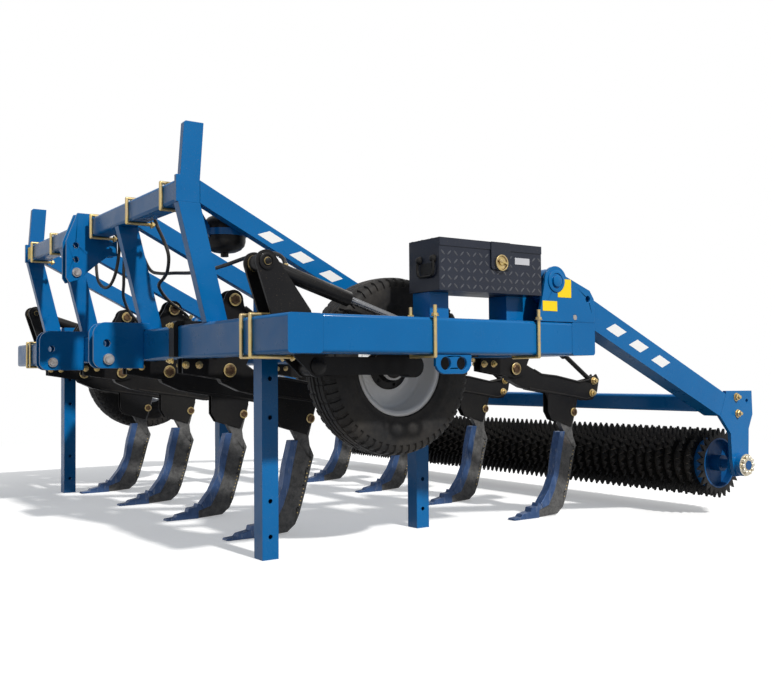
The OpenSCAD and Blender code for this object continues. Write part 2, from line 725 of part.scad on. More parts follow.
// Centre of each stand
stands = [[-beam - sleeve_w / 2, half_w - 552], [419 - frame_l, leg_out - bar_w / 2 - sleeve_w / 2]];
module stand_sleeves() {
    color(blue) on_frame() both_sides() for (p = stands) translate([p[0], p[1], beam_z + 10]) difference() {
        translate([-sleeve_w / 2, -sleeve_w / 2, 0]) cube([sleeve_w, sleeve_w, beam - 20]);
        translate([-stand_w / 2 - stand_gap, -stand_w / 2 - stand_gap, -over])
            cube([stand_w + 2 * stand_gap, stand_w + 2 * stand_gap, beam]);
    }
}
module stand(k, s) {
    color("#0b4f95") on_frame() translate([stands[k][0], s * stands[k][1], 0]) difference() {
        translate([-stand_w / 2, -stand_w / 2, 0]) cube([stand_w, stand_w, stand_l]);
        translate([-stand_w / 2 + 5, -stand_w / 2 + 5, 6]) cube([stand_w - 10, stand_w - 10, stand_l]);
        for (z = [96, 245, 596, 760]) y_bar(0, 0, z, 10, 2 * stand_w);
    }
}
module stand_front_left() { stand(0, 1); }
module stand_front_right() { stand(0, -1); }
module stand_rear_left() { stand(1, 1); }
module stand_rear_right() { stand(1, -1); }

// Toolbox on the left side beam

box_z = beam_top + 113;
box_y = half_w - box_w;
lid_t = 4;
lid_gap = 0.3;
lid_lip = 30;
knuckle_r = 8;
hinge_pin_r = 3;
hinge_y = box_y - knuckle_r - 1;
hinge_z = box_z + box_h - lid_t;
// Knuckles along the hinge: start from the box's rear end, and length
box_knuckles = [[20, 60], [255, 65], [495, 60]];
lid_knuckles = [[81, 50], [444, 50]];
module knuckles(list) {
    for (k = list) translate([k[0], hinge_y - box_y, hinge_z - box_z]) rotate([0, 90, 0]) cylinder(r = knuckle_r, h = k[1]);
}
module toolbox() {
    color("#3c4048") on_frame() translate([box_x - box_l, box_y, box_z]) {
        difference() {
            cube([box_l, box_w, box_h - lid_t - lid_gap]);
            translate([box_wall, box_wall, box_wall]) cube([box_l - 2 * box_wall, box_w - 2 * box_wall, box_h]);
        }
        knuckles(box_knuckles);
        for (k = box_knuckles) translate([k[0], hinge_y - box_y, hinge_z - box_z - knuckle_r])
            cube([k[1], knuckle_r + 1.5, knuckle_r - 1]);
        translate([40, hinge_y - box_y, hinge_z - box_z]) rotate([0, 90, 0]) cylinder(r = hinge_pin_r, h = box_l - 80);
    }
}
module toolbox_lid() {
    color("#3c4048") on_frame() translate([box_x - box_l, box_y, box_z + box_h - lid_t]) {
        cube([box_l, box_w + lid_gap, lid_t]);
        translate([0, box_w + lid_gap, -lid_lip]) cube([box_l, 3, lid_lip + lid_t]);
        translate([0, 0, -(box_h - lid_t)]) difference() {
            union() {
                knuckles(lid_knuckles);
                for (k = lid_knuckles) translate([k[0], hinge_y - box_y, hinge_z - box_z])
                    cube([k[1], knuckle_r + 2, lid_t]);
            }
            translate([0, hinge_y - box_y, hinge_z - box_z]) rotate([0, 90, 0])
                cylinder(r = hinge_pin_r + pin_gap, h = box_l);
        }
    }
}
module toolbox_legs() {
    color("#0a3f7a") on_frame() for (x = [box_x - 110, box_x - box_l + 38])
        translate([x, box_y + 10, beam_top]) cube([100, 120, box_z - beam_top]);
}
// Front end of the bracket under the left side beam
tow_x = -692;
module tow_bracket() {
    color(blue) on_frame() side_plate(half_w - 20, 16) difference() {
        union() {
            translate([tow_x - 190, beam_z - 50]) square([190, 50]);
            translate([tow_x - 140, beam_z - 82]) square([90, 82]);
            for (x = [tow_x - 140, tow_x - 50]) translate([x, beam_z - 32]) circle(50);
        }
        for (x = [tow_x - 138, tow_x - 53]) translate([x, beam_z - 38]) circle(27);
        translate([tow_x - 240, beam_z]) square([300, 60]);
    }
}

front_beam();
rear_beam();
side_beams();
rails();
upper_bar();
bar_end_plates();
legs();
struts();
top_link_bracket();
top_link_pin();
hitch_plates();
hitch_pins();
wheel_towers();
tower_pins();
tine_brackets();
tine_clamps();
tine_arms();
trip_rams();
shanks();
shins();
points();
u_bolts();
roller_mounts();
roller_pivots();
stand_sleeves();
tow_bracket();
toolbox();
toolbox_legs();
toolbox_lid();
wheel_arm_left();
wheel_arm_right();
rim_left();
rim_right();
tyre_left();
tyre_right();
ram_barrel_left();
ram_barrel_right();
ram_rod_left();
ram_rod_right();
roller_arms();
roller_cross_tube();
roller_end_plates();
roller_drum();
roller_teeth();
stand_front_left();
stand_front_right();
stand_rear_left();
stand_rear_right();
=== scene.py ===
"""Looks of the mounted subsoiler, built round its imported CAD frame."""
import json
import math

import bpy
from mathutils import Matrix, Vector


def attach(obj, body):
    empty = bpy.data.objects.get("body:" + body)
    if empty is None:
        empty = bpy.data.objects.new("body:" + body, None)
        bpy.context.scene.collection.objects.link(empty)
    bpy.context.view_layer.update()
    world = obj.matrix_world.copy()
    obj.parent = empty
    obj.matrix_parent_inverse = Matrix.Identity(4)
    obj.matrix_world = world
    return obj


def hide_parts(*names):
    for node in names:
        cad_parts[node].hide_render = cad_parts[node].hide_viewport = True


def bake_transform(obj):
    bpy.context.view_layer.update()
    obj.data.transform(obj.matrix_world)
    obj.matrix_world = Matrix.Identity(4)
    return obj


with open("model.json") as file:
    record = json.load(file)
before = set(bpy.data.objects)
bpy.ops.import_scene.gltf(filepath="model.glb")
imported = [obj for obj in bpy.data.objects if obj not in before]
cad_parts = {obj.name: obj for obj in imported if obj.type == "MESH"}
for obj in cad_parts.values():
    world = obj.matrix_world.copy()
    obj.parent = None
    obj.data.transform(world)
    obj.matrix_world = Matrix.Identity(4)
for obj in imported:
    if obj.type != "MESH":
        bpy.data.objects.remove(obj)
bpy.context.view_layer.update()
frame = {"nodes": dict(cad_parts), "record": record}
NODES = frame["nodes"]

# How far ahead of the part's origin the front beam's face lies, in metres
FRONT_X = 1.3505
# From here on, places given to at() are in millimetres
BEAM_Z = 855
BEAM = 150
BAR_Z = 1514
BAR_H = 100
BAR_REAR = 24
WHEEL_MID = 1700


def at(x, y, z):
    """A point measured in millimetres from the front beam's face, the centre and the ground."""
    return Vector((x / 1000 + FRONT_X, y / 1000, z / 1000))


# Camera

IMAGE_W = 775
FOCAL_PX = 929.26
SENSOR = 36.0
YAW, PITCH, ROLL = -2.181427, 0.028321, -0.008024
CAMERA_AT = (1644.0, 4969.0, 767.9)
CLIP = (0.05, 100)

cam_data = bpy.data.cameras.new("camera")
cam = bpy.data.objects.new("camera", cam_data)
bpy.context.scene.collection.objects.link(cam)
bpy.context.scene.camera = cam
cam_data.sensor_width = SENSOR
cam_data.lens = FOCAL_PX / IMAGE_W * SENSOR
cam_data.clip_start, cam_data.clip_end = CLIP
look = Vector((math.cos(PITCH) * math.cos(YAW), math.cos(PITCH) * math.sin(YAW), math.sin(PITCH)))
side = look.cross(Vector((0, 0, 1))).normalized()
rise = side.cross(look)
right = side * math.cos(ROLL) + rise * math.sin(ROLL)
up = rise * math.cos(ROLL) - side * math.sin(ROLL)
turn = Matrix((right, up, -look)).transposed()
cam.matrix_world = Matrix.Translation(at(*CAMERA_AT)) @ turn.to_4x4()

# Hydraulic hoses: each leaves the upper bar's rear face, and hangs on its way to a ram or back to the bar

HOSE_R = 0.0085
HOSES = {
    "hose_cross": [
        (26, 69, 1550), (-6, 69, 1545), (-30, 69, 1498), (-30, 61, 1413), (-30, 5, 1326), (-30, -78, 1277),
        (-30, -180, 1274), (-30, -285, 1325), (-30, -321, 1426), (-30, -331, 1500), (-6, -331, 1545),
        (26, -331, 1550)],
    "hose_right_rams": [
        (26, 110, 1550), (-20, 110, 1543), (-58, 96, 1490), (-60, 62, 1388), (-66, 40, 1280),
        (-120, -120, 1222), (-220, -330, 1165), (-310, -480, 1130), (-366, -556, 1104), (-378, -558, 1086)],
    "hose_left_rams": [
        (26, 634, 1550), (-8, 634, 1545), (-30, 634, 1497), (-36, 690, 1432), (-50, 718, 1356),
        (-72, 650, 1290), (-90, 559, 1264), (-100, 464, 1231), (-200, 320, 1180), (-320, 215, 1130),
        (-366, 188, 1104), (-378, 186, 1086)],
    "hose_wheel_ram": [
        (26, 170, 1550), (-40, 176, 1535), (-96, 210, 1440), (-110, 314, 1330), (-110, 454, 1297),
        (-110, 651, 1280), (-110, 835, 1263), (-112, 1010, 1256), (-118, 1200, 1262), (-128, 1420, 1276),
        (-140, 1600, 1272), (-148, 1680, 1244), (-150, 1700, 1196)]}
# The wheel ram's hose passes from the frame to the barrel. Between each two points of a route, a hose's path
# takes this many steps
HOSE_STEPS = 8


def tube(out, path, r, n=12):
    """A round tube along path, with closed ends."""
    verts, faces = out
    first = len(verts)
    pts = [Vector(p) for p in path]
    # a direction that no path starts along
    ref = Vector((0.3, 0.9, 0.2)).normalized()
    for i, p in enumerate(pts):
        d = (pts[min(i + 1, len(pts) - 1)] - pts[max(i - 1, 0)]).normalized()
        s = (ref - d * ref.dot(d)).normalized()
        t = d.cross(s)
        ref = s
        for k in range(n):
            g = 2 * math.pi * k / n
            verts.append(p + (s * math.cos(g) + t * math.sin(g)) * r)
    for i in range(len(pts) - 1):
        for k in range(n):
            k2 = (k + 1) % n
            a, b = first + i * n, first + (i + 1) * n
            faces.append((a + k, a + k2, b + k2, b + k))
    faces.append(tuple(first + k for k in reversed(range(n))))
    faces.append(tuple(first + (len(pts) - 1) * n + k for k in range(n)))


def through(route):
    """A smooth path through the route's points."""
    pts = [at(*p) for p in route]
    pts = [pts[0]] + pts + [pts[-1]]
    path = []
    for p0, p1, p2, p3 in zip(pts, pts[1:], pts[2:], pts[3:]):
        for k in range(HOSE_STEPS):
            t = k / HOSE_STEPS
            path.append(((p1 * 2) + (p2 - p0) * t + (p0 * 2 - p1 * 5 + p2 * 4 - p3) * t ** 2
                         + (p1 * 3 - p0 - p2 * 3 + p3) * t ** 3) / 2)
    return path + [pts[-1]]


hoses = []
for name, route in HOSES.items():
    path = through(route)
    verts, faces = [], []
    tube((verts, faces), path, HOSE_R)
    me = bpy.data.meshes.new(name)
    me.from_pydata([tuple(v) for v in verts], [], faces)
    me.update()
    me.polygons.foreach_set("use_smooth", [True] * len(me.polygons))
    o = bpy.data.objects.new(name, me)
    bpy.context.scene.collection.objects.link(o)
    if name == "hose_wheel_ram":
        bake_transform(o)
    else:
        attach(o, "frame")
    hoses.append(o)

# Light and backdrop

scene = bpy.context.scene
scene.view_settings.view_transform = "Standard"
world = bpy.data.worlds.new("world")
scene.world = world
world.use_nodes = True
wn, wl = world.node_tree.nodes, world.node_tree.links
wn.clear()
w_out = wn.new("ShaderNodeOutputWorld")
w_mix = wn.new("ShaderNodeMixShader")
w_sky = wn.new("ShaderNodeBackground")
w_sky.inputs["Color"].default_value = (0.86, 0.92, 1.0, 1)
w_sky.inputs["Strength"].default_value = 0.3
w_white = wn.new("ShaderNodeBackground")
w_white.inputs["Color"].default_value = (1, 1, 1, 1)
w_white.inputs["Strength"].default_value = 1.0


def sees_white(nodes, links):
    """1 for camera, glossy and transmission rays, which see the white surroundings, and 0 for the rest."""
    path = nodes.new("ShaderNodeLightPath")
    total = path.outputs["Is Camera Ray"]
    for ray in ("Is Glossy Ray", "Is Transmission Ray"):
        top = nodes.new("ShaderNodeMath")
        top.operation = "MAXIMUM"
        links.new(total, top.inputs[0])
        links.new(path.outputs[ray], top.inputs[1])
        total = top.outputs[0]
    return total


wl.new(sees_white(wn, wl), w_mix.inputs[0])
wl.new(w_sky.outputs[0], w_mix.inputs[1])
wl.new(w_white.outputs[0], w_mix.inputs[2])
wl.new(w_mix.outputs[0], w_out.inputs["Surface"])


def lamp(name, kind, power, colour, size, place, target):
    """A lamp that shines from place to target; size is a sun's angle, or a disk's diameter."""
    data = bpy.data.lights.new(name, kind)
    data.energy = power
    data.color = colour
    if kind == "SUN":
        data.angle = size
    else:
        data.shape = "DISK"
        data.size = size
    o = bpy.data.objects.new(name, data)
    scene.collection.objects.link(o)
    o.location = place
    o.rotation_mode = "QUATERNION"
    o.rotation_quaternion = (Vector(target) - Vector(place)).to_track_quat("-Z", "Y")


lamp("sun", "SUN", 3.5, (1.0, 0.98, 0.94), 0.05, (-0.2, 5.0, 5.2), (0, 0, 0.8))
lamp("fill", "AREA", 22, (0.92, 0.96, 1.0), 5.0, (6.0, 3.5, 3.0), (0.6, 0.4, 0.8))
lamp("rim_light", "AREA", 70, (1.0, 0.98, 0.95), 4.0, (-5.5, -2.5, 4.5), (-0.4, 0, 0.8))

# Materials


class Tree:
    """A material's node tree with short calls for its common nodes."""

    def __init__(self, name):
        self.m = bpy.data.materials.new(name)
        self.m.use_nodes = True
        self.n, self.l = self.m.node_tree.nodes, self.m.node_tree.links
        self.b = self.n["Principled BSDF"]
        self.co = self.n.new("ShaderNodeTexCoord").outputs["Object"]

    def noise(self, scale, detail=4, rough=0.6, stretch=None):
        t = self.n.new("ShaderNodeTexNoise")
        t.inputs["Scale"].default_value = scale
        t.inputs["Detail"].default_value = detail
        t.inputs["Roughness"].default_value = rough
        src = self.co
        if stretch:
            mp = self.n.new("ShaderNodeMapping")
            mp.inputs["Scale"].default_value = stretch
            self.l.new(self.co, mp.inputs["Vector"])
            src = mp.outputs[0]
        self.l.new(src, t.inputs["Vector"])
        return t.outputs["Fac"]

    def ramp(self, src, lo, hi, a=0.0, b=1.0):
        r = self.n.new("ShaderNodeMapRange")
        r.inputs["From Min"].default_value = lo
        r.inputs["From Max"].default_value = hi
        r.inputs["To Min"].default_value = a
        r.inputs["To Max"].default_value = b
        self.l.new(src, r.inputs["Value"])
        return r.outputs[0]

    def mul(self, a, b, op="MULTIPLY"):
        t = self.n.new("ShaderNodeMath")
        t.operation = op
        t.use_clamp = True
        self.l.new(a, t.inputs[0])
        if isinstance(b, float):
            t.inputs[1].default_value = b
        else:
            self.l.new(b, t.inputs[1])
        return t.outputs[0]

    def mix(self, fac, a, b):
        t = self.n.new("ShaderNodeMix")
        t.data_type = "RGBA"
        self.l.new(fac, t.inputs[0])
        for i, v in ((6, a), (7, b)):
            if isinstance(v, tuple):
                t.inputs[i].default_value = (*v, 1)
            else:
                self.l.new(v, t.inputs[i])
        return t.outputs[2]

    def up(self):
        g = self.n.new("ShaderNodeNewGeometry")
        s = self.n.new("ShaderNodeSeparateXYZ")
        self.l.new(g.outputs["Normal"], s.inputs[0])
        return s.outputs["Z"]

    def along(self, axis):
        s = self.n.new("ShaderNodeSeparateXYZ")
        self.l.new(self.co, s.inputs[0])
        return s.outputs[axis]

    def bump(self, src, strength, distance):
        t = self.n.new("ShaderNodeBump")
        t.inputs["Strength"].default_value = strength
        t.inputs["Distance"].default_value = distance
        self.l.new(src, t.inputs["Height"])
        self.l.new(t.outputs[0], self.b.inputs["Normal"])

    def done(self, colour, rough, metal=0.0, coat=0.0, spec=0.5):
        if isinstance(colour, tuple):
            self.b.inputs["Base Color"].default_value = (*colour, 1)
        else:
            self.l.new(colour, self.b.inputs["Base Color"])
        if isinstance(rough, float):
            self.b.inputs["Roughness"].default_value = rough
        else:
            self.l.new(rough, self.b.inputs["Roughness"])
        self.b.inputs["Metallic"].default_value = metal
        self.b.inputs["Coat Weight"].default_value = coat
        self.b.inputs["Coat Roughness"].default_value = 0.12
        self.b.inputs["Specular IOR Level"].default_value = spec
        return self.m


DUST = (0.36, 0.28, 0.19)


def paint(name, base, light, rough, coat, dust=0.35, peel=0.06, spec=0.3):
    """Sprayed paint: slow colour drift, fine speckle, orange peel, and dust on what faces up."""
    t = Tree(name)
    drift = t.ramp(t.noise(2.2, 3), 0.35, 0.7)
    body = t.mix(drift, base, light)
    speck = t.ramp(t.noise(240, 2), 0.66, 0.8, 0.0, 0.35)
    body = t.mix(speck, body, DUST)
    settle = t.mul(t.ramp(t.up(), 0.55, 1.0), t.ramp(t.noise(7, 6, 0.7), 0.38, 0.75))
    body = t.mix(t.mul(settle, dust), body, DUST)
    scuff = t.ramp(t.noise(34, 8, 0.75, (1, 1, 5)), 0.7, 0.82, 0.0, 0.5)
    body = t.mix(scuff, body, tuple(min(1.0, c * 1.6 + 0.05) for c in base))
    t.bump(t.noise(420, 2), peel, 0.0006)
    return t.done(body, t.ramp(t.noise(11, 5), 0.3, 0.75, rough, rough + 0.2), 0.0, coat, spec)


def metal(name, base, tint, rough, amount=1.0, bump=0.1):
    """Bare or plated steel, stained towards tint."""
    t = Tree(name)
    f = t.ramp(t.noise(26, 6, 0.7), 0.35, 0.7, 0.0, amount)
    col = t.mix(f, base, tint)
    t.bump(t.noise(160, 4, 0.7), bump, 0.001)
    return t.done(col, t.ramp(t.noise(60, 4), 0.3, 0.7, rough - 0.08, rough + 0.14), 0.85)


MAT = {}
MAT["blue_paint"] = paint("blue_paint", (0.0, 0.112, 0.325), (0.001, 0.13, 0.37),
                          0.24, 0.12, 0.16, 0.06, 0.15)
MAT["black_paint"] = paint("black_paint", (0.005, 0.005, 0.006), (0.013, 0.0125, 0.012),
                           0.38, 0.05, 0.18, 0.06, 0.12)
MAT["box_paint"] = paint("box_paint", (0.006, 0.009, 0.019), (0.012, 0.016, 0.029),
                         0.34, 0.12, 0.15, 0.12, 0.25)
MAT["box_tread"] = paint("box_tread", (0.026, 0.03, 0.042), (0.05, 0.055, 0.07), 0.2, 0.3, 0.1, 0.1, 0.6)
MAT["rim_paint"] = paint("rim_paint", (0.8, 0.82, 0.84), (0.9, 0.91, 0.92), 0.3, 0.3, 0.15, 0.06, 0.5)
MAT["zinc_steel"] = metal("zinc_steel", (0.56, 0.42, 0.15), (0.42, 0.33, 0.22), 0.36)
MAT["pin_steel"] = metal("pin_steel", (0.42, 0.42, 0.43), (0.24, 0.2, 0.17), 0.38)
# The rods' chrome is painted dark grey: a painted dark reflection of the surroundings, not the bright
# chrome's own colour
MAT["rod_chrome"] = metal("rod_chrome", (0.2, 0.205, 0.215), (0.14, 0.14, 0.15), 0.24, 0.6, 0.01)
MAT["old_steel"] = metal("old_steel", (0.13, 0.08, 0.045), (0.06, 0.035, 0.022), 0.5)
MAT["nut_steel"] = metal("nut_steel", (0.6, 0.58, 0.52), (0.5, 0.42, 0.26), 0.36)


def forged():
    """Rough forged steel with mill scale and some rust."""
    t = Tree("shank_steel")
    scale = t.ramp(t.noise(30, 8, 0.75), 0.3, 0.72)
    col = t.mix(scale, (0.02, 0.021, 0.023), (0.15, 0.148, 0.146))
    rust = t.ramp(t.noise(9, 8, 0.7), 0.6, 0.8, 0.0, 0.5)
    col = t.mix(rust, col, (0.14, 0.07, 0.035))
    t.bump(t.noise(130, 8, 0.8), 0.5, 0.002)
    return t.done(col, 0.62, 0.25)


def wear():
    """Hard-faced plate: thin blue-grey paint, scraped through to steel along its length."""
    t = Tree("wear_steel")
    col = t.mix(t.ramp(t.noise(14, 6, 0.7), 0.3, 0.7), (0.016, 0.05, 0.14), (0.045, 0.1, 0.24))
    col = t.mix(t.ramp(t.noise(45, 8, 0.8, (1, 1, 0.2)), 0.54, 0.7, 0.0, 0.8), col, (0.27, 0.29, 0.32))
    t.bump(t.noise(90, 6, 0.75, (1, 1, 0.3)), 0.45, 0.002)
    return t.done(col, t.ramp(t.noise(22, 5), 0.3, 0.7, 0.3, 0.55), 0.4)


def rubber(name, base, grey, rough, dust):
    """Black rubber, greyed in patches, with a little dust."""
    t = Tree(name)
    col = t.mix(t.ramp(t.noise(18, 6, 0.7), 0.4, 0.75), base, grey)
    settle = t.mul(t.ramp(t.noise(5, 6, 0.7), 0.45, 0.75), dust)
    col = t.mix(settle, col, (0.12, 0.1, 0.08))
    t.bump(t.noise(300, 3), 0.15, 0.0008)
    return t.done(col, rough, 0.0, 0.0, 0.2)


MAT["shank_steel"] = forged()
MAT["wear_steel"] = wear()
MAT["tyre_rubber"] = rubber("tyre_rubber", (0.009, 0.009, 0.01), (0.026, 0.025, 0.024), 0.62, 0.22)
MAT["hose_rubber"] = rubber("hose_rubber", (0.008, 0.008, 0.009), (0.02, 0.02, 0.02), 0.45, 0.2)
MAT["label_yellow"] = paint("label_yellow", (0.86, 0.6, 0.005), (0.92, 0.66, 0.012), 0.45, 0.1, 0.05)
MAT["label_grey"] = paint("label_grey", (0.45, 0.46, 0.5), (0.55, 0.56, 0.6), 0.35, 0.1, 0.05)
MAT["white_tape"] = paint("white_tape", (0.78, 0.79, 0.8), (0.88, 0.88, 0.88), 0.4, 0.1, 0.1)


def drum():
    """The roller's drum: worn black between the rings, and blue on its end flanges and hubs."""
    t = Tree("drum_paint")
    y = t.along("Y")
    rings_end, blue_from = 1.765, 1.768
    ends = t.mul(t.ramp(y, rings_end, blue_from), t.ramp(y, -rings_end, -blue_from), "ADD")
    soil = t.mix(t.ramp(t.noise(22, 6, 0.7), 0.35, 0.7), (0.008, 0.008, 0.009), (0.03, 0.026, 0.022))
    blue = t.mix(t.ramp(t.noise(12, 6, 0.7), 0.4, 0.75), (0.0, 0.06, 0.2), (0.001, 0.09, 0.27))
    t.bump(t.noise(120, 4), 0.12, 0.001)
    return t.done(t.mix(ends, soil, blue), t.ramp(t.noise(30, 5), 0.3, 0.7, 0.35, 0.6), 0.0, 0.05, 0.25)


MAT["drum_paint"] = drum()


def floor_material():
    """White to the camera and to mirrors, with the object's shadow, and a dull ground to all other light."""
    t = Tree("floor")
    n, l = t.n, t.l
    white_from, white_to = 2.6, 6.5
    t.done(t.mix(t.ramp(t.noise(0.7, 2), 0.3, 0.7), (0.8, 0.8, 0.8), (0.83, 0.83, 0.83)), 0.9, 0.0, 0.0, 0.1)
    t.b.inputs["Emission Color"].default_value = (1, 1, 1, 1)
    t.b.inputs["Emission Strength"].default_value = 0.3
    white = n.new("ShaderNodeEmission")
    dull = n.new("ShaderNodeBsdfDiffuse")
    dull.inputs["Color"].default_value = (0.26, 0.24, 0.22, 1)
    away = n.new("ShaderNodeVectorMath")
    away.operation = "LENGTH"
    l.new(t.co, away.inputs[0])
    near = n.new("ShaderNodeMixShader")
    l.new(t.ramp(away.outputs["Value"], white_from, white_to), near.inputs[0])
    l.new(t.b.outputs[0], near.inputs[1])
    l.new(white.outputs[0], near.inputs[2])
    both = n.new("ShaderNodeMixShader")
    l.new(sees_white(n, l), both.inputs[0])
    l.new(dull.outputs[0], both.inputs[1])
    l.new(near.outputs[0], both.inputs[2])
    l.new(both.outputs[0], n["Material Output"].inputs["Surface"])
    return t.m


for o in hoses:
    o.data.materials.append(MAT["hose_rubber"])

slot_of = {s["node"]: s["material_slot"] for s in frame["record"]["subparts"]}
FINISH = {"roller_drum": "drum_paint"}
# Width of the rounded edges in mm: the usual one, and those of the nodes that differ
EDGE = 2.5
BEVEL = {"roller_teeth": 0, "rim_left": 0, "rim_right": 0, "tyre_left": 0, "tyre_right": 0, "u_bolts": 0,
         "ram_rod_left": 0, "ram_rod_right": 0, "roller_drum": 0, "toolbox": 1.2, "toolbox_lid": 1.0,
         "stand_front_left": 0, "stand_front_right": 0, "stand_rear_left": 0, "stand_rear_right": 0}
for name, o in NODES.items():
    o.data.materials.clear()
    o.data.materials.append(MAT[FINISH.get(name, slot_of[name])])
    weld = o.modifiers.new("weld", "WELD")
    weld.merge_threshold = 1e-5
    width = BEVEL.get(name, EDGE)
    if width:
        bev = o.modifiers.new("bevel", "BEVEL")
        bev.width = width / 1000
        bev.segments = 2
        bev.limit_method = "ANGLE"
        bev.angle_limit = math.radians(40)
        bev.harden_normals = True

# Mesh helpers


def piece(name, verts, faces, material, body, slot=None, smooth=None, bevel=0.0):
    """A new piece that rides on body. Edges of less than smooth degrees are shaded as smooth."""
    me = bpy.data.meshes.new(name)
    me.from_pydata([tuple(v) for v in verts], [], faces)
    me.validate()
    me.update()
    o = bpy.data.objects.new(name, me)
    scene.collection.objects.link(o)
    me.materials.append(MAT[material])
    if smooth is not None:
        me.polygons.foreach_set("use_smooth", [True] * len(me.polygons))
        me.set_sharp_from_angle(angle=math.radians(smooth))
    if bevel:
        b = o.modifiers.new("bevel", "BEVEL")
        b.width = bevel
        b.segments = 2
        b.limit_method = "ANGLE"
        b.angle_limit = math.radians(35)
    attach(o, body)
    return o


def basis(axis):
    """Two unit vectors square to axis."""
    a = Vector(axis).normalized()
    s = a.cross(Vector((0, 0, 1)) if abs(a.z) < 0.9 else Vector((1, 0, 0))).normalized()
    return a, s, a.cross(s)


def lathe(out, at_point, axis, rings, n, turn_by=0.0):
    """Adds to out a body of revolution: rings are (along, radius), both in metres."""
    verts, faces = out
    a, s, t = basis(axis)
    first = len(verts)
    for along, r in rings:
        for k in range(n):
            g = 2 * math.pi * k / n + turn_by
            verts.append(Vector(at_point) + a * along + (s * math.cos(g) + t * math.sin(g)) * r)
    for i in range(len(rings) - 1):
        for k in range(n):
            k2 = (k + 1) % n
            p, q = first + i * n, first + (i + 1) * n
            faces.append((p + k, p + k2, q + k2, q + k))
    faces.append(tuple(first + k for k in reversed(range(n))))
    faces.append(tuple(first + (len(rings) - 1) * n + k for k in range(n)))


def bolt(out, place, axis, d, stub=0.0, turn_by=0.3):
    """A hex head of thread diameter d on its washer, and the thread's end, standing on place along axis."""
    washer_t, washer_r = 0.17 * d, 1.12 * d
    head_h, head_r = 0.65 * d, 0.92 * d
    way = Vector(axis).normalized()
    rings = [(0, d * 1.05), (0.0008, washer_r), (0.15 * d, washer_r), (washer_t, d * 1.05)]
    lathe(out, place, axis, rings, 20)
    p = Vector(place) + way * washer_t
    lathe(out, p, axis, [(0, head_r), (head_h * 0.85, head_r), (head_h, head_r * 0.86)], 6, turn_by)
    if stub:
        lathe(out, p + way * head_h, axis, [(0, d * 0.48), (stub * 0.85, d * 0.48), (stub, d * 0.4)], 14)


def plate(out, corners, thick, normal):
    """A flat plate with the given outline, thick along normal."""
    verts, faces = out
    n0, n = len(verts), len(corners)
    nn = Vector(normal).normalized() * thick
    verts.extend(Vector(c) for c in corners)
    verts.extend(Vector(c) + nn for c in corners)
    faces.append(tuple(n0 + k for k in reversed(range(n))))
    faces.append(tuple(n0 + n + k for k in range(n)))
    for k in range(n):
        k2 = (k + 1) % n
        faces.append((n0 + k, n0 + k2, n0 + n + k2, n0 + n + k))


def new():
    return [], []


BOTH = (1, -1)
SIDES = ((1, "left"), (-1, "right"))
LEFT, UP = Vector((0, 1, 0)), Vector((0, 0, 1))
FRONT, REAR = Vector((1, 0, 0)), Vector((-1, 0, 0))

# Tyres with a ribbed and sipped tread

TYRE_R = 0.398
HUB_X, WHEEL_Y, HUB_Z = -760, 1548, 810
TREAD_PITCHES = 60
# Where the mesh's rows stand within one pitch of the tread: a notch lies between the second and the third
PITCH_AT = (0.0, 0.07, 0.46, 0.53)
NOTCH_ROWS = (1, 2)
TREAD_STEPS = TREAD_PITCHES * len(PITCH_AT)
SIPE, NOTCH = 0.0035, 0.009
# From this distance off the middle, and over this span, a notch turns from the tread to the side
SIDE_FROM, SIDE_SPAN = 0.08, 0.02
# Half profile: distance from the tyre's middle, radius, and what cuts it: 1 a sipe, 2 a shoulder notch
TREAD = [(0.000, -0.009, 0), (0.006, -0.009, 0), (0.008, 0.0, 1), (0.024, -0.0005, 1), (0.026, -0.009, 0),
         (0.032, -0.009, 0), (0.034, -0.001, 1), (0.055, -0.003, 1), (0.057, -0.010, 0), (0.062, -0.010, 0),
         (0.064, -0.0055, 2), (0.078, -0.0095, 2), (0.089, -0.016, 2), (0.097, -0.029, 2), (0.1, -0.044, 2),
         (0.1, -0.05, 0)]
WALL = [(0.1015, -0.062), (0.1025, -0.085), (0.1025, -0.1), (0.0995, -0.115), (0.1, -0.118),
        (0.098, -0.132), (0.092, -0.146), (0.087, -0.158), (0.0865, -0.17), (0.078, -0.176)]
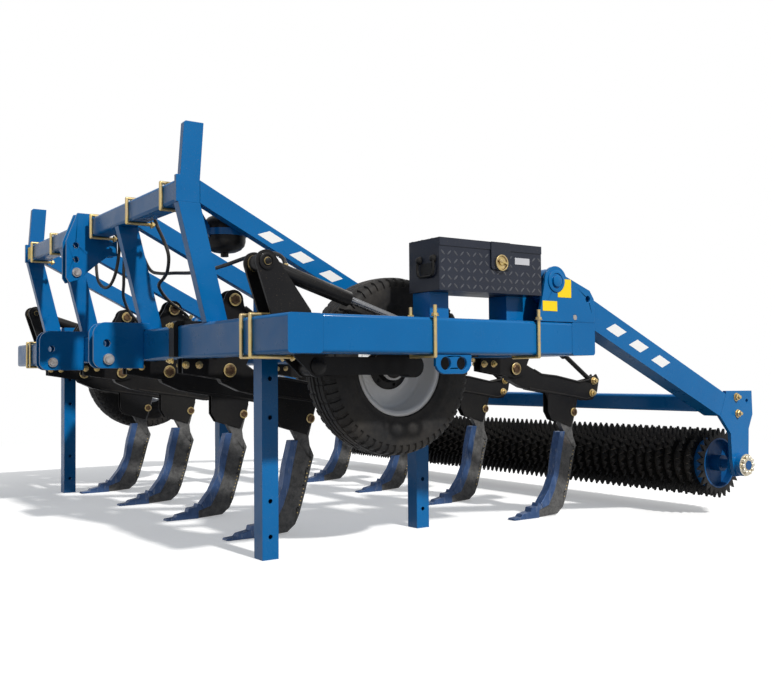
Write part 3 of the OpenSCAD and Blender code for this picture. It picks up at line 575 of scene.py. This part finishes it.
# The tyre's inner side, from the bead seat to its middle
INNER = [(0.068, -0.1947), (0.055, -0.1947), (0.082, -0.14), (0.082, -0.06), (0.05, -0.03)]
HUB_RINGS = [(0, 0.104), (0.004, 0.104), (0.008, 0.098), (0.012, 0.072), (0.03, 0.064), (0.05, 0.05),
             (0.054, 0.044)]
WHEEL_NUTS, NUT_CIRCLE, NUT_DEPTH = 6, 0.088, 0.005
for s, side_name in SIDES:
    out = new()
    verts, faces = out
    centre = at(HUB_X, s * WHEEL_Y, HUB_Z)
    row = [(-y, r, 0) for y, r in reversed(WALL)] + [(-y, r, c) for y, r, c in reversed(TREAD[1:])]
    row += [(y, r, c) for y, r, c in TREAD] + [(y, r, 0) for y, r in WALL]
    row += [(y, r, 0) for y, r in INNER] + [(-y, r, 0) for y, r in reversed(INNER)]
    n = len(row)
    for k in range(TREAD_STEPS):
        pitch, step = divmod(k, len(PITCH_AT))
        g = 2 * math.pi * (pitch + PITCH_AT[step]) / TREAD_PITCHES
        for y, r, cut in row:
            rr = TYRE_R + r
            wide = y
            if cut == 1 and step == 1 and pitch % 2 == (0 if y > 0 else 1):
                rr -= SIPE
            if cut == 2 and step in NOTCH_ROWS:
                # radially on the tread, and inwards on the side
                side_on = min(1.0, max(0.0, (abs(y) - SIDE_FROM) / SIDE_SPAN))
                rr -= NOTCH * (1 - 0.7 * side_on)
                wide -= math.copysign(NOTCH * 0.8 * side_on, y)
            verts.append(centre + Vector((rr * math.cos(g), wide, rr * math.sin(g))))
    for k in range(TREAD_STEPS):
        k2 = (k + 1) % TREAD_STEPS
        for i in range(n):
            i2 = (i + 1) % n
            faces.append((k * n + i, k * n + i2, k2 * n + i2, k2 * n + i))
    wheel = "wheel_" + side_name
    o = piece("tyre_tread_" + side_name, verts, faces, "tyre_rubber", wheel, "tyre_rubber", 30)
    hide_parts("tyre_" + side_name)
    # Hub and wheel nuts
    out = new()
    face = LEFT * s
    hub = at(HUB_X, s * (WHEEL_Y - 10), HUB_Z)
    lathe(out, hub, face, HUB_RINGS, 40)
    for k in range(WHEEL_NUTS):
        g = 2 * math.pi / WHEEL_NUTS * k + 0.2
        p = hub - face * NUT_DEPTH + Vector((math.cos(g), 0, math.sin(g))) * NUT_CIRCLE
        bolt(out, p, face, 0.016, stub=0.012)
    piece("hub_" + side_name, *out, "black_paint", wheel, "black_paint", 40)

# Bolts


def bolts(name, items, body):
    """One piece of plated bolts: items are (place, axis, thread diameter, length of the thread's end)."""
    out = new()
    for place, axis, d, stub in items:
        bolt(out, place, axis, d, stub=stub, turn_by=0.2 + len(out[0]) * 0.37)
    return piece(name, *out, "zinc_steel", body, "zinc_steel", 30)


# Tines: the beams' rear faces, and how many pitches off the middle the first tine stands
ROWS = ((-150, 2.5), (-1620, 3.5))
PITCH_Y, TINE_BACK, TINE_Z = 372, 100, 800
TINES_IN_ROW = 4
tines = [(x - TINE_BACK, (k0 - 2 * k) * PITCH_Y) for x, k0 in ROWS for k in range(TINES_IN_ROW)]
# Half widths of what the bolts stand on, and places from a tine's pivot
BRACKET_FACE, PIN_END, ARM_FACE, SHANK_FACE = 32, 40, 21.7, 14.9
BRACKET_BOLTS = ((70, 75), (70, 185), (150, 25), (215, 25))
CLAMP_X, CLAMP_Y, CLAMP_Z = TINE_BACK + BEAM + 22, 17, (44, 206)
ARM_BOLTS = ((-610, -70), (-595, -138))
items = []
for x, y in tines:
    for sy in BOTH:
        for bx, bz in BRACKET_BOLTS:
            place = at(x + bx, y + sy * BRACKET_FACE, TINE_Z + bz)
            items.append((place, LEFT * sy, 0.016, 0.01))
    for sy in BOTH:
        for bz in CLAMP_Z:
            place = at(x + CLAMP_X, y + sy * CLAMP_Y, TINE_Z + bz)
            items.append((place, FRONT, 0.012, 0.008))
bolts("bracket_bolts", items, "frame")

items = []
for x, y in tines:
    for sy in BOTH:
        for bx, bz in ARM_BOLTS:
            place = at(x + bx, y + sy * ARM_FACE, TINE_Z + bz)
            items.append((place, LEFT * sy, 0.02, 0.012))
bolts("arm_bolts", items, "frame")

# Ringed washers on the tines' pins and on the shank's bolt, with older heads: X, half width, Z and size
RINGED = ((0, PIN_END, 0, 0.03), (-28, PIN_END, 333, 0.028), (-445, ARM_FACE, -241, 0.022))
# Profiles: distance out, and the radius as a share of the pin's size
WASHER = ((0, 1), (0.003, 1.08), (0.005, 1.08), (0.007, 1), (0.007, 0.9), (0.004, 0.86))
HEAD = ((0, 0.8), (0.007, 0.8), (0.0085, 0.72), (0.0085, 0.4), (0.005, 0.36))
washers, heads = new(), new()
for x, y in tines:
    for sy in BOTH:
        a = LEFT * sy
        for bx, by, bz, d in RINGED:
            p = at(x + bx, y + sy * by, TINE_Z + bz)
            lathe(washers, p, a, [(out_by, d * share) for out_by, share in WASHER], 28)
            lathe(heads, p + a * 0.004, a, [(out_by, d * share) for out_by, share in HEAD], 6, 0.3 + x)
piece("pin_washers", *washers, "zinc_steel", "frame", "zinc_steel", 30)
piece("pin_heads", *heads, "old_steel", "frame", "zinc_steel", 30)

# Raised rims along the tine arms' edges
ARM_RIMS = (((-150, -7), (-205, -32), (-320, -43), (-495, -77), (-585, -62)),
            ((-110, -106), (-205, -121), (-400, -148), (-548, -172), (-590, -166)))
RIM_MID, RIM_R = 20.5, 0.0065
out = new()
for x, y in tines:
    for sy in BOTH:
        for rim in ARM_RIMS:
            tube(out, [at(x + bx, y + sy * RIM_MID, TINE_Z + bz) for bx, bz in rim], RIM_R, 10)
piece("arm_rims", *out, "black_paint", "frame", "black_paint", 50)

# Accumulator behind the upper bar, in a band on a bracket
ACC_X, ACC_Y = -160, 1110
ACC_LOW, PORT_LOW, BAND_LOW = 1330, 1312, 1402
ACC_RINGS = [(0, 0.03), (0.004, 0.052), (0.014, 0.074), (0.03, 0.089), (0.05, 0.095), (0.12, 0.095),
             (0.142, 0.089), (0.158, 0.074), (0.168, 0.052), (0.172, 0.024), (0.2, 0.022), (0.204, 0.018)]
BAND_RINGS = [(0, 0.0945), (0, 0.099), (0.03, 0.099), (0.03, 0.0945)]
# Outline in X and Z of each cheek of the bracket, and where the two stand
CHEEK = ((-70, 1390), (26, 1520), (26, 1590), (-70, 1440))
CHEEK_T, CHEEKS_Y = 0.008, (-40, 32)
out = new()
lathe(out, at(ACC_X, ACC_Y, ACC_LOW), UP, ACC_RINGS, 48)
lathe(out, at(ACC_X, ACC_Y, PORT_LOW), UP, [(0, 0.012), (0, 0.018), (0.02, 0.018)], 6)
piece("accumulator", *out, "black_paint", "frame", "black_paint", 40)
out = new()
lathe(out, at(ACC_X, ACC_Y, BAND_LOW), UP, BAND_RINGS, 48)
for dy in CHEEKS_Y:
    plate(out, [at(x, ACC_Y + dy, z) for x, z in CHEEK], CHEEK_T, LEFT)
piece("accumulator_bracket", *out, "blue_paint", "frame", "blue_paint", 40)

# Fittings where the hoses meet the rams and the upper bar
FITTING = [(0, 0.011), (0.028, 0.011), (0.03, 0.0095)]
BAR_FITTING = [(0, 0.014), (0.012, 0.014), (0.014, 0.0105), (0.026, 0.0105)]
TRIP_RAMS_Y, TRIP_RAM_WAY = (-558, 186), (-0.57, 0, 0.82)
out = new()
for y in TRIP_RAMS_Y:
    lathe(out, at(-378, y, 1082), TRIP_RAM_WAY, FITTING, 6)
for point in [route[0] for route in HOSES.values()] + [HOSES["hose_cross"][-1]]:
    lathe(out, at(BAR_REAR - 0.5, *point[1:]), REAR, BAR_FITTING, 6)
piece("hose_fittings", *out, "zinc_steel", "frame", "zinc_steel", 30)
out = new()
lathe(out, at(-150, WHEEL_MID, 1190), UP, FITTING, 6)
piece("ram_fitting", *out, "zinc_steel", "ram_barrel_left", "zinc_steel", 30)

# Small bright zinc bumps along the shanks' back edges, between the small holes there, by their height from
# the pivot: painted glints that stand in for light seen through the back edges' row of small holes
HOLE_GLINTS, GLINT_STEP, GLINT_LOW = 15, 19, -702
GLINT_IN, HOLE_CLEAR = 15, 9.5
GLINT = [(0, 0.0036), (0.0012, 0.003)]
BACK_EDGE = ((-710, -385), (-606, -418), (-508, -444), (-426, -469))
HOLES_Z = (-434, -489, -571, -678)


def back_edge(z):
    """X of the shank's back edge at the height z, both from the pivot."""
    for (z0, x0), (z1, x1) in zip(BACK_EDGE, BACK_EDGE[1:]):
        if z <= z1:
            return x0 + (x1 - x0) * (z - z0) / (z1 - z0)
    return BACK_EDGE[-1][1]


out = new()
for x, y in tines:
    for k in range(HOLE_GLINTS):
        z = GLINT_LOW + GLINT_STEP * k
        if min(abs(z - h) for h in HOLES_Z) < HOLE_CLEAR:
            continue
        for sy in BOTH:
            place = at(x + back_edge(z) + GLINT_IN, y + sy * SHANK_FACE, TINE_Z + z)
            lathe(out, place, LEFT * sy, GLINT, 10)
# These bumps are painted glints for light seen through holes, not real studs
piece("shank_hole_glints", *out, "zinc_steel", "frame", "zinc_steel", 30)

# Spacers on the towers' upper pins, beside the rams' eyes, and dark caps on the pins
TOWER_PIN, ARM_PIN = (-36, 1217), (-265, 810)
SPACER_AT, CAP_AT = 44.8, 56.8
SPACER = [(0, 0.03), (0.003, 0.034), (0.0138, 0.034), (0.0138, 0.017)]
UPPER_CAP = [(0, 0.034), (0.006, 0.034), (0.008, 0.03), (0.008, 0.024), (0.005, 0.022), (0.005, 0.014),
             (0.014, 0.013), (0.016, 0.01)]
LOWER_CAP = [(0, 0.036), (0.006, 0.036), (0.008, 0.032), (0.014, 0.022), (0.016, 0.018)]
for s, side_name in SIDES:
    out = new()
    for sy in BOTH:
        place = at(TOWER_PIN[0], s * WHEEL_MID + sy * SPACER_AT, TOWER_PIN[1])
        lathe(out, place, LEFT * -sy, SPACER, 32)
    piece("ram_spacers_" + side_name, *out, "zinc_steel", "frame", "zinc_steel", 40)
    out = new()
    for sy in BOTH:
        for (x, z), rings in ((TOWER_PIN, UPPER_CAP), (ARM_PIN, LOWER_CAP)):
            lathe(out, at(x, s * WHEEL_MID + sy * CAP_AT, z), LEFT * sy, rings, 32)
    piece("pin_caps_" + side_name, *out, "black_paint", "frame", "black_paint", 40)

# Roller ends: bolts through the end plates, and a washer with a winged nut round each axle's end
END_FACE, BEARING_FACE = 1965, 1995
END_BOLTS = ((-2728, 640), (-2738, 552))
AXLE = (-2760, 278)
BEARING_WASHER = [(-0.0002, 0.0262), (-0.0002, 0.057), (0.002, 0.059), (0.005, 0.058), (0.006, 0.05),
                  (0.006, 0.0262)]
NUT_WINGS, WING_CIRCLE, WASHER_T = 10, 0.041, 0.006
WING = [(0, 0.011), (0.012, 0.011), (0.014, 0.009)]
NUT_RING = [(0, 0.0262), (0, 0.042), (0.01, 0.042), (0.01, 0.0262)]
for s, side_name in SIDES:
    a = LEFT * s
    items = [(at(x, s * END_FACE, z), a, 0.02, 0.012) for x, z in END_BOLTS]
    bolts("end_plate_bolts_" + side_name, items, "roller_frame")
    out = new()
    c = at(AXLE[0], s * BEARING_FACE, AXLE[1])
    lathe(out, c, a, BEARING_WASHER, 40)
    c += a * WASHER_T
    for k in range(NUT_WINGS):
        g = 2 * math.pi / NUT_WINGS * k
        way = Vector((math.cos(g), 0, math.sin(g)))
        lathe(out, c + way * WING_CIRCLE, a, WING, 10)
    lathe(out, c, a, NUT_RING, 40)
    piece("bearing_nut_" + side_name, *out, "nut_steel", "roller_frame", "zinc_steel", 30)

# Nuts on the U-bolts, whose radius is U_R, round the front beam, the upper bar and the left side beam
U_R, U_THREAD = 8, 0.016
BEAM_NUTS_X, BAR_NUTS_X, BOX_NUTS_Z = -175, 12, 1009
items = []
for y in (1620, 1699, -1620, -1699):
    for z in (BEAM_Z - U_R, BEAM_Z + BEAM + U_R):
        items.append((at(BEAM_NUTS_X, y, z), REAR, U_THREAD, 0.0))
for y in (105, 653, 1086, -653, -1086):
    for z in (BAR_Z - U_R, BAR_Z + BAR_H + U_R):
        items.append((at(BAR_NUTS_X, y, z), REAR, U_THREAD, 0.0))
for x in (-674, -1253):
    for y in (1829, 1995):
        items.append((at(x, y, BOX_NUTS_Z), UP, U_THREAD, 0.0))
bolts("u_bolt_nuts", items, "frame")

# Ringed caps on the roller arms' pivots
PIVOT = (-1372, 1188)
MOUNT_FACE = 1986.8
PIVOT_CAP = [(0, 0.05), (0.005, 0.05), (0.007, 0.046), (0.007, 0.036), (0.003, 0.034), (0.003, 0.0262),
             (0.012, 0.026), (0.014, 0.022)]
out = new()
for s in BOTH:
    lathe(out, at(PIVOT[0], s * MOUNT_FACE, PIVOT[1]), LEFT * s, PIVOT_CAP, 36)
piece("pivot_caps", *out, "blue_paint", "frame", "blue_paint", 40)

# Blank labels and the white dashes, which stand DECAL_OUT off the faces

DECAL_T = 0.0012
DECAL_OUT = 0.4


def decal(name, corners, material, body):
    """A thin flat piece with the given corners, facing the side from which they run anticlockwise."""
    out = new()
    e1, e2 = Vector(corners[1]) - Vector(corners[0]), Vector(corners[2]) - Vector(corners[1])
    nrm = e1.cross(e2).normalized()
    plate(out, corners, DECAL_T, nrm)
    return piece(name, *out, material, body)


# A dash on a roller arm's outer face is given by its distance from the pivot
ARM_FALL = math.radians(24.5)
ARM_Y = 1965


def on_arm(d, h, s):
    """d runs back along the arm from its pivot, h is the height over the line through the pivot."""
    x = PIVOT[0] - d * math.cos(ARM_FALL) - h * math.sin(ARM_FALL)
    z = PIVOT[1] - d * math.sin(ARM_FALL) + h * math.cos(ARM_FALL)
    return at(x, s * (ARM_Y + DECAL_OUT), z)


# A dash on an outer strut's outer face is given by its distance from the upper bar
STRUT_Y, STRUT_FALL = 1263, 0.5


def on_strut(d, h, s):
    """d runs back from the upper bar, h is the height above the strut's lower edge there."""
    return at(BAR_REAR - d, s * (STRUT_Y + DECAL_OUT), BAR_Z - d * STRUT_FALL + h)


def slanted(place, d, half, lean_by, low, high, s):
    """A dash's corners: half is half its length, and its top edge is lean_by behind its lower one."""
    shift = lean_by / 2
    pts = [place(d - half - shift, low, s), place(d + half - shift, low, s),
           place(d + half + shift, high, s), place(d - half + shift, high, s)]
    return pts if s < 0 else pts[::-1]


# How far back each arm's and each outer strut's dashes stand, and each dash's half, lean_by, low and high
ARM_DASHES, STRUT_DASHES = (471, 647, 825), (339, 499, 654)
ARM_DASH, STRUT_DASH = (45, 47, -43, 6), (36, 60, 25, 74)
for s, side_name in SIDES:
    for k, d in enumerate(ARM_DASHES):
        corners = slanted(on_arm, d, *ARM_DASH, s)
        decal("roller_arm_dash_%s_%d" % (side_name, k), corners, "white_tape", "roller_frame")
    for k, d in enumerate(STRUT_DASHES):
        corners = slanted(on_strut, d, *STRUT_DASH, s)
        decal("strut_dash_%s_%d" % (side_name, k), corners, "white_tape", "frame")

LABEL_Y, BAR_LABEL_X = 1987.2, 124.3


def label(name, x0, x1, z0, z1, material="label_yellow"):
    """A blank label on the left side, its face to the left."""
    corners = [at(x, LABEL_Y, z) for x, z in ((x1, z0), (x0, z0), (x0, z1), (x1, z1))]
    decal(name, corners, material, "frame")


label("mount_label_high", -1466, -1381, 1116, 1199)
label("mount_label_low", -1376, -1286, 1052, 1097)
corners = [at(BAR_LABEL_X, y, z) for y, z in ((-1205, 1530), (-1100, 1530), (-1100, 1606), (-1205, 1606))]
decal("bar_label", corners, "label_yellow", "frame")

# Toolbox: raised tread bars, hasp with its latch, blank label, and a bail handle on its front end

BOX_X0, BOX_X1, BOX_Y0, BOX_Y1, BOX_Z0, BOX_Z1 = -1280, -705, 1779, 1987, 1118, 1336
TREAD_STEP = 0.034
# A tread bar's half length, half width and height, and how deep it stands in the box
LENS = (0.0145, 0.0042, 0.0028)
LENS_DEPTH = 0.0003
# Where the side has no bars: under the hasp and round the label
BARE = [(0.27, 0.392, 0.09, 0.2), (0.4, 0.51, 0.12, 0.17)]


def lens(out, p, along, across, normal, l, w, h):
    """A raised bar with pointed ends."""
    verts, faces = out
    n0 = len(verts)
    for k in range(8):
        g = math.pi / 4 * k
        verts.append(p + along * (l * math.cos(g)) + across * (w * math.sin(g)))
    for k in range(8):
        g = math.pi / 4 * k
        verts.append(p + along * (l * 0.7 * math.cos(g)) + across * (w * 0.45 * math.sin(g)) + normal * h)
    for k in range(8):
        k2 = (k + 1) % 8
        faces.append((n0 + k, n0 + k2, n0 + 8 + k2, n0 + 8 + k))
    faces.append(tuple(n0 + 8 + k for k in range(8)))
    faces.append(tuple(n0 + k for k in reversed(range(8))))


def tread_plate(out, origin, u, v, nu, nv, bare=()):
    """Bars in alternating directions, nu by nv places along u and v, but none where it is bare."""
    nrm = u.cross(v)
    for i in range(nu):
        for j in range(nv):
            a, b = TREAD_STEP * (i + 0.55), TREAD_STEP * (j + 0.6)
            if any(u0 < a < u1 and v0 < b < v1 for u0, u1, v0, v1 in bare):
                continue
            way = (u + v).normalized() if (i + j) % 2 else (u - v).normalized()
            lens(out, origin + u * a + v * b - nrm * LENS_DEPTH, way, nrm.cross(way), nrm, *LENS)


out = new()
tread_plate(out, at(BOX_X1, BOX_Y1, BOX_Z0), REAR, UP, 17, 5, BARE)
piece("tread_side", *out, "box_tread", "frame", "box_paint", 40)
out = new()
tread_plate(out, at(BOX_X0, BOX_Y0, BOX_Z1), FRONT, LEFT, 17, 6)
piece("tread_lid", *out, "box_tread", "lid", "box_paint", 40)
out = new()
tread_plate(out, at(BOX_X0, BOX_Y1, BOX_Z0), -LEFT, UP, 6, 5)
piece("tread_rear", *out, "box_tread", "frame", "box_paint", 40)

label("box_label", -1208, -1122, 1248, 1277, "label_grey")

# The hasp hangs from the lid over the box's side, with a latch whose ring stands on it
HASP_Y, HASP_T = 1990.5, 0.004
HASP = ((-1090, 1227), (-1082, 1219), (-990, 1219), (-982, 1227), (-982, 1337), (-1090, 1337))
LATCH = at(-1035, 1994.5, 1250)
LATCH_RINGS = [(0, 0.03), (0.003, 0.03), (0.004, 0.024), (0.0035, 0.022), (0.003, 0.012), (0.009, 0.012),
               (0.011, 0.009)]
RING_R, RING_POINTS = 0.032, 32
out = new()
plate(out, [at(x, HASP_Y, z) for x, z in HASP], HASP_T, LEFT)
piece("box_hasp", *out, "box_paint", "lid", "box_paint", None, 0.001)
out = new()
lathe(out, LATCH, LEFT, LATCH_RINGS, 32)
ring = []
for k in range(RING_POINTS + 1):
    g = 2 * math.pi * k / RING_POINTS
    ring.append(LATCH + LEFT * 0.008 + FRONT * (RING_R * math.cos(g)) + UP * (RING_R * math.sin(g) - 0.002))
tube(out, ring, 0.003, 8)
bar = [LATCH + LEFT * 0.011 + FRONT * a + UP * b for a, b in ((-0.028, -0.006), (0.02, 0.008))]
tube(out, bar, 0.005, 10)
piece("box_latch", *out, "zinc_steel", "lid", "zinc_steel", 40)

# Bail handle: the outlines of its grip and its plate are distances leftwards and upwards from its place
HANDLE = at(BOX_X1, 1903, 1214)
GRIP = ((-0.052, 0.03), (-0.056, 0.0), (-0.05, -0.028), (-0.034, -0.036),
        (0.034, -0.036), (0.05, -0.028), (0.056, 0.0), (0.052, 0.03))
GRIP_R, GRIP_OUT = 0.0055, 0.009
EYE = [(-0.0003, 0.017), (0.004, 0.017), (0.006, 0.014), (0.015, 0.012), (0.017, 0.009)]
BACK = ((-0.04, -0.016), (-0.028, -0.026), (0.028, -0.026), (0.04, -0.016), (0.036, 0.02), (-0.036, 0.02))
out = new()
tube(out, [HANDLE + FRONT * GRIP_OUT + LEFT * a + UP * b for a, b in GRIP], GRIP_R, 10)
for k in BOTH:
    lathe(out, HANDLE + LEFT * (0.047 * k) + UP * 0.036, FRONT, EYE, 20)
plate(out, [HANDLE + LEFT * a + UP * b for a, b in BACK], 0.004, FRONT)
piece("box_handle", *out, "black_paint", "frame", "black_paint", 45)

# Floor

HALF = 40
me = bpy.data.meshes.new("floor")
me.from_pydata([(-HALF, -HALF, 0), (HALF, -HALF, 0), (HALF, HALF, 0), (-HALF, HALF, 0)], [], [(0, 1, 2, 3)])
floor = bpy.data.objects.new("floor", me)
me.materials.append(floor_material())
scene.collection.objects.link(floor)
